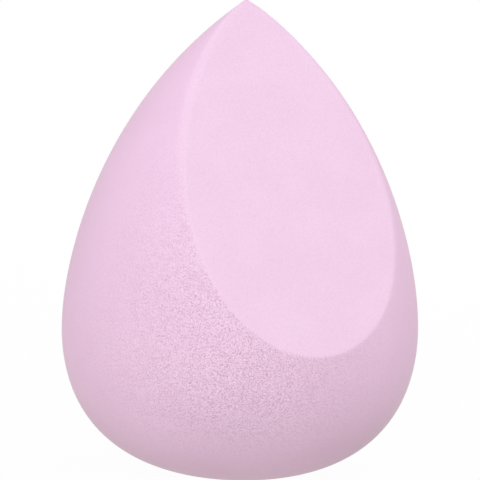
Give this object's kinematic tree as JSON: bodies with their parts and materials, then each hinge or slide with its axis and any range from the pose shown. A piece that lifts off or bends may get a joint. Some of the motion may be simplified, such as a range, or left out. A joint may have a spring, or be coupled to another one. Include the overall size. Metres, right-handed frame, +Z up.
{
  "type": "makeup sponge",
  "caption": "Teardrop foam sponge with a rounded base and a slanted flat face, held in the fingers to dab and blend make-up.",
  "frame": {"origin": "middle of the small flat under the rounded base, which the sponge stands on", "axes": "+Z up the teardrop's axis to the tip, and the slanted face looks towards -Y and up"},
  "size_m": [0.0454, 0.0454, 0.06],
  "materials": {
    "foam": "matte"
  },
  "bodies": {
    "root": {"sponge_body": "foam"}
  },
  "joints": []
}
